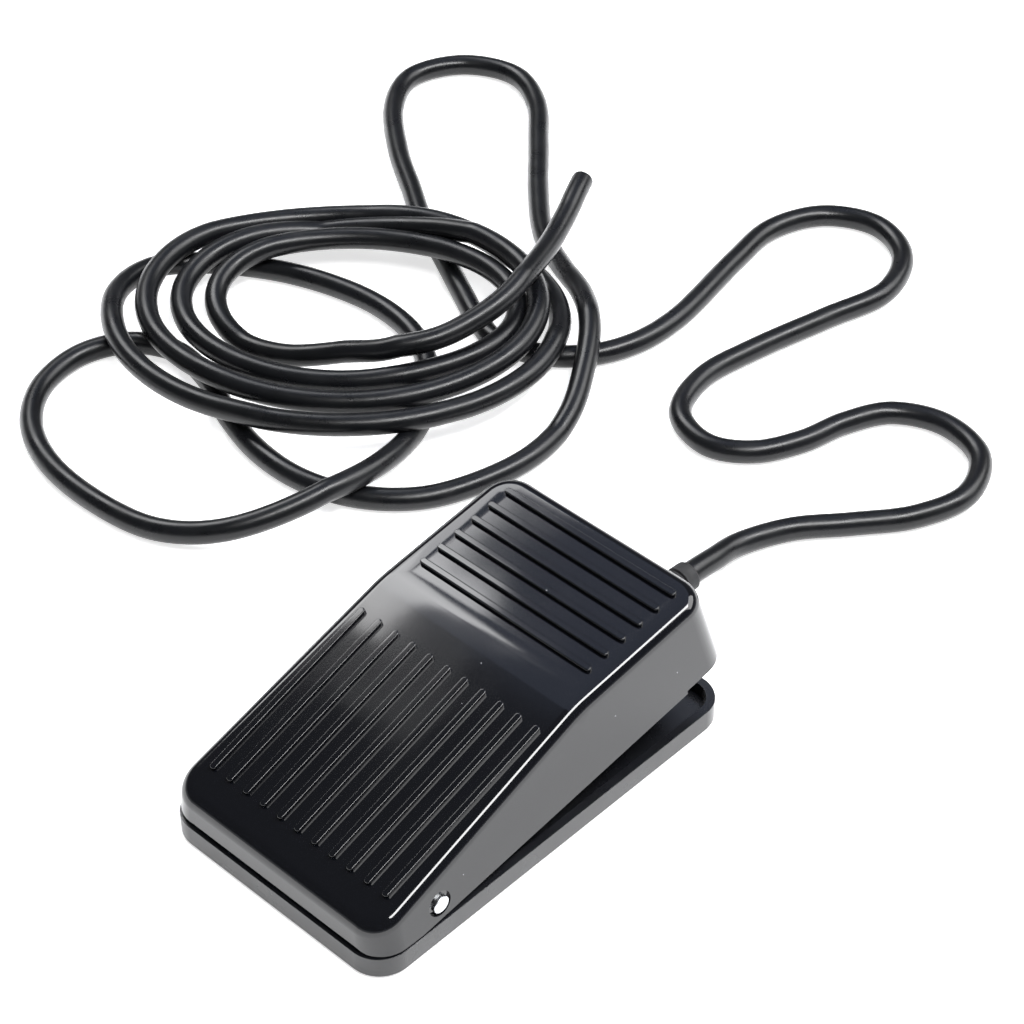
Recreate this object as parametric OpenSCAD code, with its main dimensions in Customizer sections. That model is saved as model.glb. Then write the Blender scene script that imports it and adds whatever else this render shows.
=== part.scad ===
// Foot pedal switch for a sewing machine: a shallow base tray, a hinged cover held up by a
// return spring, and a lever microswitch inside, with a two-core lead lying behind it.
// Millimetres. +X is across the pedal, +Y runs from toe to heel, +Z is up.
// The origin is on the floor under the middle of the base. The cover is drawn at rest, raised.

/* [Base] */
// Width of the base
base_w = 63; // [56:0.5:76]
// Length of the base
base_l = 105; // [88:0.5:126]
// Radius of the upright corners
corner_r = 7.4; // [6:0.1:9]
// Height of the tray from its underside to its rim
tray_h = 5.1; // [4.5:0.1:6.5]
// Thickness of the tray's walls
tray_wall = 2; // [1.6:0.1:2.5]
// Thickness of the tray's floor
tray_floor = 2; // [1.6:0.1:2.4]

/* [Rubber feet] */
// Diameter of a foot
foot_d = 9.6; // [8:0.2:11]
// How far a foot stands out below the tray
foot_proud = 0.8; // [0.5:0.1:1.5]
// How deep a foot is let into the tray
foot_sunk = 0.8; // [0.5:0.1:1]

/* [Cover] */
// Thickness of the cover
cover_wall = 2.2; // [1.8:0.1:2.5]
// Lean of the cover's walls, in degrees
draft = 7; // [4:0.5:9]
// Radius along the cover's top edge
edge_r = 2.6; // [2.3:0.1:3.2]
// Height of the heel plane above the tray's rim, with the cover level
heel_h = 21.6; // [21.4:0.1:26]
// Height of the toe plane above the tray's rim at the toe edge, with the cover level
toe_h = 9.5; // [9.3:0.1:12]
// Distance from the heel edge to the ridge where the two planes meet
ridge_back = 42.3; // [36:0.1:50]
// Gap between the level cover's skirt and the tray's rim
skirt_gap = 1.2; // [1:0.1:1.6]
// Gap between cover and rim at the toe, at rest
toe_gap = 0.5; // [0.3:0.1:0.8]
// Angle from level to rest, in degrees
rise = 7.3; // [6:0.1:8]

/* [Grip ribs] */
// Width of a rib
rib_w = 1.8; // [1.2:0.1:2.4]
// How far a rib stands out
rib_h = 0.7; // [0.4:0.1:1]
// Number of long ribs on the toe plane
toe_ribs = 11; // [5:2:11]
// Distance from the side edge to the middle of the outermost long rib
toe_rib_side = 6.5; // [6.5:0.1:10]
// Distance from the ridge to the long ribs
toe_rib_back = 8.3; // [4:0.1:12]
// Distance from the toe edge to the long ribs
toe_rib_front = 9; // [8:0.1:14]
// Number of cross ribs on the heel plane
heel_ribs = 6; // [3:1:6]
// Spacing of the cross ribs
heel_rib_pitch = 5.2; // [4:0.1:5.4]
// Distance from the side edge to the end of a cross rib
heel_rib_side = 7.3; // [7:0.1:14]
// Distance from the heel edge to the first cross rib
heel_rib_edge = 8; // [7:0.1:10]

/* [Hinge] */
// Diameter of the hinge pin
pin_d = 4; // [3:0.1:5]
// Distance from the toe edge to the pin
pin_back = 17.5; // [16:0.1:19]
// Height of the pin above the tray's rim
pin_h = 5.2; // [4.8:0.1:5.6]
// Running clearance round the pin in the cover
pin_play = 0.05; // [0.02:0.01:0.1]
// Thickness of each hinge post
post_t = 3; // [2.5:0.1:3.5]

/* [Return spring] */
// Outside diameter of the spring
spring_d = 11; // [9:0.5:13]
// Diameter of the spring wire
spring_wire = 1.1; // [0.8:0.1:1.4]
// Number of turns
spring_turns = 7; // [5:1:8]
// Distance from the heel edge to the spring
spring_back = 26.5; // [25:0.5:29]

/* [Microswitch] */
// Length of the switch body
switch_l = 19.8; // [19.8:0.1:19.8]
// Height of the switch body
switch_h = 10.2; // [10.2:0.1:10.2]
// Thickness of the switch body
switch_t = 6.4; // [6.4:0.1:6.4]
// Thickness of the switch's walls
switch_wall = 0.8; // [0.7:0.05:0.9]
// Height of the switch body above the tray's floor
switch_lift = 4.6; // [4.4:0.1:5]
// Distance from the hinge pin to the front of the switch body
switch_ahead = 23; // [22:0.5:24]

/* [Lead] */
// Diameter of the lead
cord_d = 5.6; // [5:0.1:6]
// Diameter of one insulated core
core_d = 1.7; // [1.3:0.1:1.9]
// Length of the tapered strain relief outside the tray
relief_l = 23; // [20:1:28]

/* [Mounting] */
// Diameter of the two mounting holes
mount_d = 4.5; // [3.5:0.1:5.5]
// Distance between the mounting holes
mount_span = 44; // [36:1:46]

/* [Hidden] */
$fn = 48;
eps = 0.01;

// Levels
under_z = foot_proud;
floor_z = under_z + tray_floor;
rim_z = under_z + tray_h;
pin_y = pin_back - base_l / 2;
pin_z = rim_z + pin_h;
pin_r = pin_d / 2;

// Cover, with its planes level
skirt_z = rim_z + skirt_gap;
heel_z = rim_z + heel_h;
ridge_y = base_l / 2 - ridge_back;
toe_run = base_l - ridge_back;
toe_slope = atan((heel_h - toe_h) / toe_run);
toe_rib_l = toe_run / cos(toe_slope) - toe_rib_back - toe_rib_front;
toe_rib_pitch = (base_w - 2 * toe_rib_side) / (toe_ribs - 1);
heel_rib_l = base_w - 2 * heel_rib_side;
rib_root = 0.6;
recess_r = pin_r + 0.9;
recess_deep = 0.5;
pin_proud = 0.6;
skirt_step = 0.8;
skirt_step_back = 14;

function lean(z) = (z - skirt_z) * tan(draft);
function plane_z(y) = y > ridge_y ? heel_z : heel_z - (ridge_y - y) * tan(toe_slope);
function ceiling_z(y) = plane_z(y) - cover_wall / (y > ridge_y ? 1 : cos(toe_slope));

// Half width of the cover's outside, level, at a height
function side_x(z) = base_w / 2 - lean(z);

// A point of the rest pose, as [y, z], turned back to where it is with the cover level
function levelled(y, z) = [
    pin_y + (y - pin_y) * cos(rise) + (z - pin_z) * sin(rise),
    pin_z + (z - pin_z) * cos(rise) - (y - pin_y) * sin(rise)];

// A point of the level cover, as [y, z], where it is at rest
function raised(y, z) = [
    pin_y + (y - pin_y) * cos(rise) - (z - pin_z) * sin(rise),
    pin_z + (z - pin_z) * cos(rise) + (y - pin_y) * sin(rise)];

// Hinge posts stand just inside the cover's wall
post_out = side_x(pin_z + pin_r) - cover_wall - 1;
post_r = pin_r + 2.2;
boss_gap = 0.2;

// Switch
switch_y0 = pin_y + switch_ahead;
switch_y1 = switch_y0 + switch_l;
switch_z0 = floor_z + switch_lift;
switch_z1 = switch_z0 + switch_h;
switch_holes = [switch_y0 + 5.15, switch_y0 + 14.65];
switch_hole_z = switch_z0 + 2.5;
switch_hole_r = 1.2;
switch_tube_r = 1.75;
lever_y = switch_y1 - 3.3;
lever_z = switch_z1 + 1.1;
lever_t = 0.4;
lever_rest = 13.5;
lever_w = 3.8;
lever_reach = 16;
eye_r = 0.95;
lever_pin_r = 0.5;
ear_t = 0.9;
plunger_y = lever_y - 4.5;
plunger_r = 0.8;
plunger_top = lever_z + 0.55;
plunger_low = switch_z1 - 2.25;
strip_t = 0.5;
strip_w = 3.2;
lug_low = switch_z0 - 3.9;
blade_t = 0.3;
blade_z = switch_z1 - 2.6;
blade_y = lever_y + 1.35;
blade_eye_r = 0.4;
blade_l = 15;
contact_y = blade_y - 13.2;
contact_r = 1;
closed_z = blade_z + 0.45;
open_z = blade_z - 2.5;

// The cover's nose that presses the lever
nose_r = 1.5;
nose_w = 4;
nose_y = lever_y - 14.5;
nose_z = lever_z + 3.9 + nose_r;

// Spring
spring_y = base_l / 2 - spring_back;
spring_r = (spring_d - spring_wire) / 2;
spring_low = floor_z + 0.05;
spring_level = levelled(spring_y, pin_z + (heel_z - pin_z) + (spring_y - pin_y) * sin(rise));
spring_high = raised(spring_level[0] - spring_d / 2, ceiling_z(spring_level[0]))[1] - 0.4;
spigot_r = spring_d / 2 - spring_wire - 0.5;

// Lead
cord_r = cord_d / 2;
core_r = core_d / 2;
cord_z = floor_z + cord_r;
wall_y = base_l / 2 - tray_wall;
clamp_y = base_l / 2 - 12.5;
clamp_t = 2;
clamp_w = 5;
clamp_span = 15;
jacket_y = clamp_y - 4.5;
neck_r = cord_r + 1.1;
collar_r = neck_r + 1.7;
relief_y = base_l / 2 + relief_l;
screw_r = 1.1;

// Route of the lead, laid by hand on the floor. Each point has its x, its distance behind the heel
// edge, and how far the lead is lifted there. It leaves the strain relief, lies in three bends and
// a long loop, and comes back towards the coil.
route_lead = [
    [0, 31, 2], [0, 41, 0.4], [5, 53, 0], [14, 64, 0], [23, 76, 0], [27, 90, 0], [21, 103, 0],
    [8, 108, 0], [-5, 103, 0], [-10, 91, 0], [-9, 79, 0], [-15, 66, 0], [-28, 61, 0], [-41, 67, 0],
    [-46, 81, 0], [-44, 98, 0], [-39, 120, 0], [-35, 138, 0], [-41, 153, 0], [-54, 159, 0],
    [-67, 153, 0], [-73, 139, 0], [-71, 122, 0], [-66, 94, 0], [-68, 76, 0], [-77, 63, 0],
    [-91, 57, 0], [-102, 60, 2.8], [-112, 65, 5.8], [-127, 73, 6], [-141, 80, 5.6],
    [-153, 88, 2.4], [-168, 98, 0], [-184, 112, 0], [-191, 126, 0], [-185, 140, 0], [-171, 146, 0],
    [-157, 140, 0], [-143, 126, 0], [-128, 110, 0], [-114, 97, 0], [-99, 88, 0]];

// The coil's first, widest turn, which swings out into a loop of its own
route_loop = [
    [-99, 88, 0], [-86, 81, 2], [-75, 72, 6], [-66, 60, 6], [-59, 47, 3.2], [-56, 32, 0],
    [-58, 17, 0], [-64, 3, 2.2], [-75, -7, 6], [-89, -12, 2.8], [-104, -12, 0], [-119, -8, 0],
    [-133, -2, 0], [-147, 0, 0], [-158, -6, 0], [-163, -18, 0], [-160, -32, 0], [-150, -43, 0],
    [-135, -49, 0], [-117, -50, 0], [-100, -47, 0], [-87, -38, 0], [-79, -24, 0], [-76, -8, 0],
    [-78, 8, 0], [-84, 22, 0], [-94, 35, 0], [-107, 44, 0], [-122, 47, 0], [-138, 45, 0],
    [-154, 39, 0], [-167, 29, 0], [-174, 16, 0]];

// The last stretch, from inside the coil over its turns to the cut end
route_tail = [
    [-97, 21, 1.6], [-90, 32, 4.8], [-88, 46, 6], [-90, 61, 6], [-95, 76, 6], [-101, 90, 6],
    [-108, 105, 3.8]];

// The coil's turns lie side by side in an oval ring
coil_at = [-122.5, 34.5];
coil_turn = 35;
coil_half = [60, 49];
coil_open = [34, 24];
coil_t = 2 * cord_d;
cut_core_l = 1.2;

// A route's points on the floor behind the tray
function laid(route) = [for (p = route) [p[0], base_l / 2 + p[1], cord_r + p[2]]];

module rounded(w, l, r) {
    square([w - 2 * r, l], center = true);
    square([w, l - 2 * r], center = true);
    for (sx = [-1, 1], sy = [-1, 1]) translate([sx * (w / 2 - r), sy * (l / 2 - r)]) circle(r);
}

module slab(w, l, r, h) linear_extrude(height = h) rounded(w, l, r);

module at_pin() translate([0, pin_y, pin_z]) rotate([rise, 0, 0]) translate([0, -pin_y, -pin_z])
    children();

module along_x(r, l) rotate([0, 90, 0]) cylinder(r = r, h = l, center = true);

module along_y(r, l) rotate([-90, 0, 0]) cylinder(r = r, h = l);

// A block between two corners
module block(low, high) translate(low) cube(high - low);

// ---- Base tray ----

module hinge_post(side) {
    translate([side * (post_out - post_t / 2), pin_y, 0]) {
        translate([0, 0, pin_z]) along_x(post_r, post_t);
        block([-post_t / 2, -post_r, floor_z - 0.5], [post_t / 2, post_r, pin_z]);
    }
}

module switch_bracket() {
    block([-switch_t / 2 - 4, switch_y0 + 2, floor_z - 0.5],
          [-switch_t / 2, switch_y1 - 2, switch_hole_z + 3]);
}

module clamp_post(side) translate([side * clamp_span / 2, clamp_y, floor_z - 0.5])
    cylinder(r = 2.8, h = cord_r + 0.5 - 0.2);

module cord_collar() {
    translate([0, wall_y, cord_z]) along_y(collar_r, tray_wall);
    block([-collar_r, wall_y, floor_z - 0.5], [collar_r, base_l / 2, cord_z]);
}

module base_tray() color("#1b1c1f") difference() {
    union() {
        difference() {
            translate([0, 0, under_z]) slab(base_w, base_l, corner_r, tray_h);
            translate([0, 0, floor_z])
                slab(base_w - 2 * tray_wall, base_l - 2 * tray_wall, corner_r - tray_wall, tray_h);
        }
        for (side = [-1, 1]) {
            hinge_post(side);
            clamp_post(side);
            translate([side * mount_span / 2, 0, floor_z - 0.5]) cylinder(d = mount_d + 4, h = 2);
        }
        switch_bracket();
        cord_collar();
        translate([0, spring_y, floor_z - 0.5]) cylinder(r = spigot_r, h = 4.5);
    }
    translate([0, pin_y, pin_z]) along_x(pin_r, base_w);
    for (side = [-1, 1]) {
        translate([side * mount_span / 2, 0, under_z - 1]) cylinder(d = mount_d, h = 9);
        translate([side * clamp_span / 2, clamp_y, floor_z - 0.5]) cylinder(r = screw_r, h = 9);
        for (end = [-1, 1])
            translate([side * (base_w / 2 - 8.5), end * (base_l / 2 - 9.5), under_z - 1])
                cylinder(d = foot_d + 0.2, h = foot_sunk + 1);
    }
    for (y = switch_holes) translate([-switch_t / 2 - 2, y, switch_hole_z]) along_x(0.95, 5);
    translate([0, wall_y - 1, cord_z]) along_y(neck_r, tray_wall + 2);
}

// ---- Cover ----

// A ring of round section, whose hull with others makes a rounded corner
module corner_bead(r, f) rotate_extrude($fn = 32) translate([max(r - f, 0.01), 0]) circle(f, $fn = 16);

// The cover's outside, or its hollow when it is drawn in by t
module cover_form(t) {
    f = max(edge_r - t, 0.4);
    top_r = max(corner_r - 2 - t, f + 0.2);
    foot_r = corner_r - t;
    low = t == 0 ? skirt_z : skirt_z - 1;
    lean_in = t / cos(draft);
    heel = heel_z - t - f;
    ridge = heel_z - t - f;
    toe_drop = (t + f) / cos(toe_slope);
    reach = (top_r - f) + f / cos(draft) + lean_in;
    toe_y = -base_l / 2 + reach + lean(plane_z(-base_l / 2 + 4) - toe_drop);
    toe = plane_z(toe_y) - toe_drop;
    hull() {
        for (sx = [-1, 1]) {
            for (sy = [-1, 1])
                translate([sx * (base_w / 2 - lean(low) - lean_in - foot_r),
                           sy * (base_l / 2 - lean(low) - lean_in - foot_r), low])
                    cylinder(r = foot_r, h = 0.02, $fn = 48);
            translate([sx * (base_w / 2 - lean(heel) - reach), base_l / 2 - lean(heel) - reach, heel])
                corner_bead(top_r, f);
            translate([sx * (base_w / 2 - lean(ridge) - lean_in - f / cos(draft)),
                       ridge_y + (t + f) * tan(toe_slope / 2), ridge]) sphere(f, $fn = 24);
            translate([sx * (base_w / 2 - lean(toe) - reach), toe_y, toe])
                rotate([toe_slope, 0, 0]) corner_bead(top_r, f);
        }
    }
}

// A bar with round ends, lying flat
module rib(l) linear_extrude(height = rib_h + rib_root) {
    square([l - rib_w, rib_w], center = true);
    for (end = [-1, 1]) translate([end * (l - rib_w) / 2, 0]) circle(d = rib_w);
}

module toe_rib_row() {
    translate([0, ridge_y, heel_z]) rotate([toe_slope, 0, 0])
        for (i = [0 : toe_ribs - 1])
            translate([(i - (toe_ribs - 1) / 2) * toe_rib_pitch, -toe_rib_back - toe_rib_l / 2, -rib_root])
                rotate([0, 0, 90]) rib(toe_rib_l);
}

module heel_rib_row() {
    for (i = [0 : heel_ribs - 1])
        translate([0, base_l / 2 - heel_rib_edge - i * heel_rib_pitch, heel_z - rib_root]) rib(heel_rib_l);
}

module cover_nose() {
    tip = levelled(nose_y, nose_z);
    translate([0, tip[0], tip[1]]) along_x(nose_r, nose_w);
    block([-nose_w / 2, tip[0] - nose_r, tip[1]], [nose_w / 2, tip[0] + nose_r, ceiling_z(tip[0]) + 0.9]);
}

module pedal_cover() color("#17181b") difference() {
    at_pin() difference() {
        union() {
            difference() {
                cover_form(0);
                cover_form(cover_wall);
            }
            toe_rib_row();
            heel_rib_row();
            cover_nose();
            translate([0, spring_level[0], ceiling_z(spring_y) - 4]) cylinder(r = spigot_r - 0.3, h = 4.9);
            for (side = [-1, 1])
                translate([side * (post_out + boss_gap + 1.2), pin_y, pin_z]) along_x(post_r - 0.4, 2.4);
        }
        translate([0, pin_y, pin_z]) along_x(pin_r + pin_play, base_w + 2);
        for (side = [-1, 1])
            translate([side * (side_x(pin_z) - recess_deep + 5), pin_y, pin_z]) along_x(recess_r, 10);
        block([-base_w, base_l / 2 - skirt_step_back, skirt_z - 2], [base_w, base_l, skirt_z + skirt_step]);
        block([-collar_r - 1, wall_y - 6, skirt_z - 2],
              [collar_r + 1, base_l, cord_z + collar_r + 2.4]);
    }
    block([-base_w, -base_l, 0], [base_w, pin_y, rim_z + toe_gap]);
}

// ---- Hinge pin and feet ----

module hinge_pin() color("#c9ccd1") translate([0, pin_y, pin_z])
    along_x(pin_r, 2 * (side_x(pin_z) + pin_proud));

module rubber_feet() color("#26272a")
    for (sx = [-1, 1], sy = [-1, 1])
        translate([sx * (base_w / 2 - 8.5), sy * (base_l / 2 - 9.5), 0])
            cylinder(d = foot_d, h = foot_proud + foot_sunk - 0.05);

// ---- Swept tube along a list of points ----

function unit(v) = v / norm(v);
function direction(p, i) = unit(p[min(i + 1, len(p) - 1)] - p[max(i - 1, 0)]);
function ring_point(p, i, r, a) =
    let (d = direction(p, i), s = unit([d[1], -d[0], 0]), u = cross(s, d))
    p[i] + r * (cos(a) * s + sin(a) * u);

module tube(p, r, sides = 10) {
    n = len(p);
    polyhedron(
        points = [for (i = [0 : n - 1], k = [0 : sides - 1]) ring_point(p, i, r, 360 * k / sides)],
        faces = concat(
            [[for (k = [0 : sides - 1]) k]],
            [for (i = [0 : n - 2], k = [0 : sides - 1])
                let (a = i * sides + k, b = i * sides + (k + 1) % sides) [a, a + sides, b + sides, b]],
            [[for (k = [sides - 1 : -1 : 0]) (n - 1) * sides + k]]));
}

// ---- Return spring ----

module return_spring() color("#b9bcc2") {
    steps = 12;
    turns = spring_turns;
    rise_z = spring_high - spring_low - spring_wire;
    // The end turns lie flat, so the pitch eases in and out
    path = [for (i = [0 : turns * steps])
        let (f = i / (turns * steps), g = f < 0.12 ? 0.25 * f : f > 0.88 ? 1 - 0.25 * (1 - f)
             : 0.03 + (f - 0.12) * 0.94 / 0.76)
        [spring_r * cos(i * 360 / steps), spring_y + spring_r * sin(i * 360 / steps),
         spring_low + spring_wire / 2 + g * rise_z]];
    tube(path, spring_wire / 2, 6);
}

// ---- Microswitch ----

module switch_case() color("#202124") difference() {
    union() {
        difference() {
            block([-switch_t / 2, switch_y0, switch_z0], [switch_t / 2 - switch_wall, switch_y1, switch_z1]);
            block([-switch_t / 2 + switch_wall, switch_y0 + switch_wall, switch_z0 + switch_wall],
                  [switch_t, switch_y1 - switch_wall, switch_z1 - switch_wall]);
        }
        for (y = switch_holes) translate([-switch_wall / 2, y, switch_hole_z])
            along_x(switch_tube_r, switch_t - switch_wall);
        for (side = [-1, 1])
            translate([side * (switch_t / 2 - switch_wall - ear_t / 2), lever_y, 0]) {
                block([-ear_t / 2, -1, switch_z1 - 0.4], [ear_t / 2, 1, lever_z]);
                translate([0, 0, lever_z]) along_x(1, ear_t);
            }
    }
    for (y = switch_holes) translate([0, y, switch_hole_z]) along_x(switch_hole_r, 2 * switch_t);
    translate([0, lever_y, lever_z]) along_x(lever_pin_r, 2 * switch_t);
    translate([0, plunger_y, switch_z1 - 2]) cylinder(r = plunger_r + 0.06, h = 3);
    for (y = [terminal_ys[0], terminal_ys[1], terminal_ys[2]])
        block([-strip_w / 2 - 0.05, y - strip_t / 2 - 0.05, switch_z0 - 1],
              [strip_w / 2 + 0.05, y + strip_t / 2 + 0.05, switch_z0 + switch_wall + 1]);
}

module switch_cover() color("#2a2b2f") difference() {
    block([switch_t / 2 - switch_wall + 0.02, switch_y0, switch_z0], [switch_t / 2, switch_y1, switch_z1]);
    for (y = switch_holes) translate([0, y, switch_hole_z]) along_x(switch_hole_r, 2 * switch_t);
}

module switch_plunger() color("#b3261e") translate([0, plunger_y, plunger_low])
    cylinder(r = plunger_r, h = plunger_top - plunger_low);

module lever_pin() color("#b9bcc2") translate([0, lever_y, lever_z])
    along_x(lever_pin_r, switch_t - 2 * switch_wall);

module switch_lever() color("#c4c7cc") translate([0, lever_y, lever_z]) rotate([-lever_rest, 0, 0])
    difference() {
        union() {
            along_x(eye_r, lever_w - 1.2);
            block([-lever_w / 2 + 0.6, -lever_reach, -lever_t / 2], [lever_w / 2 - 0.6, 0, lever_t / 2]);
        }
        along_x(lever_pin_r + 0.04, lever_w);
    }

module contact_blade() color("#b87f4a") difference() {
    union() {
        block([-1.4, blade_y - blade_l, blade_z - blade_t / 2], [1.4, blade_y, blade_z + blade_t / 2]);
        translate([0, blade_y, blade_z]) along_x(blade_eye_r, 2.8);
    }
    translate([0, contact_y, blade_z - 1]) cylinder(r = contact_r, h = 2);
}

module moving_contact() color("#d8d9dc") translate([0, contact_y, blade_z - 0.4])
    cylinder(r = contact_r, h = 0.8);

module fixed_contacts() color("#d8d9dc") translate([0, contact_y, 0]) {
    translate([0, 0, closed_z]) cylinder(r = contact_r + 0.2, h = 0.35);
    translate([0, 0, open_z - 0.35]) cylinder(r = contact_r + 0.2, h = 0.35);
}

terminal_ys = [blade_y + blade_eye_r + strip_t / 2 + 0.15, plunger_y - 2.1, switch_y0 + 1.15];

module strip(y, z0, z1) block([-strip_w / 2, y - strip_t / 2, z0], [strip_w / 2, y + strip_t / 2, z1]);

module pad(y0, y1, z0) block([-strip_w / 2, y0, z0], [strip_w / 2, y1, z0 + 0.4]);

module terminal_common() color("#c9a44a") strip(terminal_ys[0], lug_low, blade_z + 1);

module terminal_open() color("#c9a44a") {
    strip(terminal_ys[1], lug_low, open_z - 0.35);
    pad(contact_y - 1.4, terminal_ys[1], open_z - 0.75);
}

module terminal_closed() color("#c9a44a") {
    strip(terminal_ys[2], lug_low, closed_z + 0.75);
    pad(terminal_ys[2], contact_y + 1.4, closed_z + 0.35);
}

module switch_screws() color("#9da0a6")
    for (y = switch_holes) translate([0, y, switch_hole_z]) {
        translate([-1.2, 0, 0]) along_x(0.95, switch_t + 2.6);
        difference() {
            translate([switch_t / 2 + 0.75, 0, 0]) along_x(1.9, 1.4);
            block([switch_t / 2 + 0.9, -2.5, -0.25], [switch_t, 2.5, 0.25]);
            block([switch_t / 2 + 0.9, -0.25, -2.5], [switch_t, 0.25, 2.5]);
        }
    }

// ---- Lead inside the tray ----

module cord_clamp() color("#2a2b2f") translate([0, clamp_y - clamp_w / 2, 0]) difference() {
    union() {
        block([-clamp_span / 2 - 3, 0, cord_z], [clamp_span / 2 + 3, clamp_w, cord_z + clamp_t]);
        translate([0, 0, cord_z]) along_y(cord_r + 1.6, clamp_w);
    }
    translate([0, -1, cord_z]) along_y(cord_r, clamp_w + 2);
    block([-cord_r - 3, -1, 0], [cord_r + 3, clamp_w + 1, cord_z]);
    for (side = [-1, 1])
        translate([side * clamp_span / 2, clamp_w / 2, 0]) cylinder(r = screw_r + 0.15, h = 40);
}

module clamp_screws() color("#9da0a6")
    for (side = [-1, 1]) translate([side * clamp_span / 2, clamp_y, 0]) {
        translate([0, 0, floor_z]) cylinder(r = screw_r, h = cord_z + clamp_t - floor_z + 0.05);
        difference() {
            translate([0, 0, cord_z + clamp_t + 0.05]) cylinder(r = 2.1, h = 1.5);
            block([-2.5, -0.3, cord_z + clamp_t + 0.9], [2.5, 0.3, cord_z + clamp_t + 3]);
            block([-0.3, -2.5, cord_z + clamp_t + 0.9], [0.3, 2.5, cord_z + clamp_t + 3]);
        }
    }

module strain_relief() color("#1f2023") translate([0, 0, cord_z]) difference() {
    union() {
        translate([0, wall_y - 2, 0]) along_y(neck_r + 1.2, 2);
        translate([0, wall_y - 1, 0]) along_y(neck_r, tray_wall + 2);
        translate([0, base_l / 2, 0]) along_y(neck_r + 1.3, 2);
        translate([0, base_l / 2 + 1.9, 0]) rotate([-90, 0, 0])
            cylinder(r1 = neck_r + 0.5, r2 = cord_r + 0.7, h = relief_l - 1.9);
    }
    translate([0, wall_y - 5, 0]) along_y(cord_r, relief_l + 20);
    block([-neck_r - 2, wall_y - 3, -neck_r - 2], [neck_r + 2, wall_y - 1, -cord_r]);
    block([-neck_r - 2, wall_y - 1, -neck_r - 2], [neck_r + 2, wall_y, -neck_r]);
}

module inner_cord() color("#1d1e21") translate([0, jacket_y, cord_z])
    along_y(cord_r, base_l / 2 - jacket_y);

// The two cores run either side of the spring to the switch's lugs
core_z = lug_low + 1.2;
red_end = terminal_ys[0] + strip_t / 2 + 0.05;

module core_red_inside() color("#b8322a") tube([
    [-1.3, jacket_y, cord_z], [-3.4, jacket_y - 1.7, cord_z], [-6.2, jacket_y - 4, cord_z - 0.6],
    [-8, spring_y + 2, core_z], [-8.2, spring_y - 3, core_z], [-6.6, spring_y - 8, core_z],
    [-3, spring_y - 11.5, core_z], [-0.4, spring_y - 13, core_z], [0, red_end + 4, core_z],
    [0, red_end + 1, core_z]], core_r, 8);

module core_black_inside() color("#2b2b2e") tube([
    [1.3, jacket_y, cord_z], [3.4, jacket_y - 1.7, cord_z], [6.2, jacket_y - 4, cord_z - 0.6],
    [8, spring_y + 2, core_z], [8.6, spring_y - 4, core_z], [9, spring_y - 12, core_z],
    [9, terminal_ys[1] + 9, core_z], [8.2, terminal_ys[1] + 4, core_z],
    [7.2, terminal_ys[1] + 1.4, core_z], [5.6, terminal_ys[1], core_z],
    [strip_w / 2 + 1.1, terminal_ys[1], core_z]], core_r, 8);

module wire_sleeves() color("#3b3c40") {
    difference() {
        translate([0, red_end, core_z]) along_y(core_r + 0.35, 3.4);
        translate([0, red_end + 1, core_z]) along_y(core_r + 0.02, 4);
    }
    translate([0, terminal_ys[1], core_z]) difference() {
        translate([strip_w / 2 + 1.75, 0, 0]) along_x(core_r + 0.35, 3.4);
        translate([strip_w / 2 + 3.1, 0, 0]) along_x(core_r + 0.02, 4);
    }
}

// ---- Lead lying behind the pedal ----

module oval(half) polygon([for (a = [0 : 10 : 350]) [half[0] * cos(a), half[1] * sin(a)]]);

module cord_lead() color("#1d1e21")
    tube(concat([[0, base_l / 2, cord_z], [0, relief_y, cord_z]], laid(route_lead)), cord_r, 8);

module cord_loop() color("#1d1e21") tube(laid(route_loop), cord_r, 8);

module cord_coil() color("#1d1e21") translate([coil_at[0], base_l / 2 + coil_at[1], 0])
    rotate([0, 0, coil_turn]) linear_extrude(height = coil_t) difference() {
        oval(coil_half);
        oval(coil_open);
    }

module cord_tail() color("#1d1e21") tube(laid(route_tail), cord_r, 8);

// A core's end standing a little out of the cut jacket
module cut_core(side) {
    route = laid(route_tail);
    n = len(route);
    d = unit(route[n - 1] - route[n - 2]);
    start = route[n - 1] + side * 1.15 * unit([d[1], -d[0], 0]);
    tube([start + eps * d, start + cut_core_l * d], core_r * 0.9, 8);
}

module cut_core_red() color("#c8453c") cut_core(1);

module cut_core_black() color("#2b2b2e") cut_core(-1);

base_tray();
pedal_cover();
hinge_pin();
rubber_feet();
return_spring();
switch_case();
switch_cover();
switch_plunger();
switch_lever();
lever_pin();
contact_blade();
moving_contact();
fixed_contacts();
terminal_common();
terminal_open();
terminal_closed();
switch_screws();
cord_clamp();
clamp_screws();
strain_relief();
inner_cord();
core_red_inside();
core_black_inside();
wire_sleeves();
cord_lead();
cord_loop();
cord_coil();
cord_tail();
cut_core_red();
cut_core_black();
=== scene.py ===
# Foot pedal switch for a sewing machine, with its lead lying behind it.
import bpy
import math
from mathutils import Matrix, Vector


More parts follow.
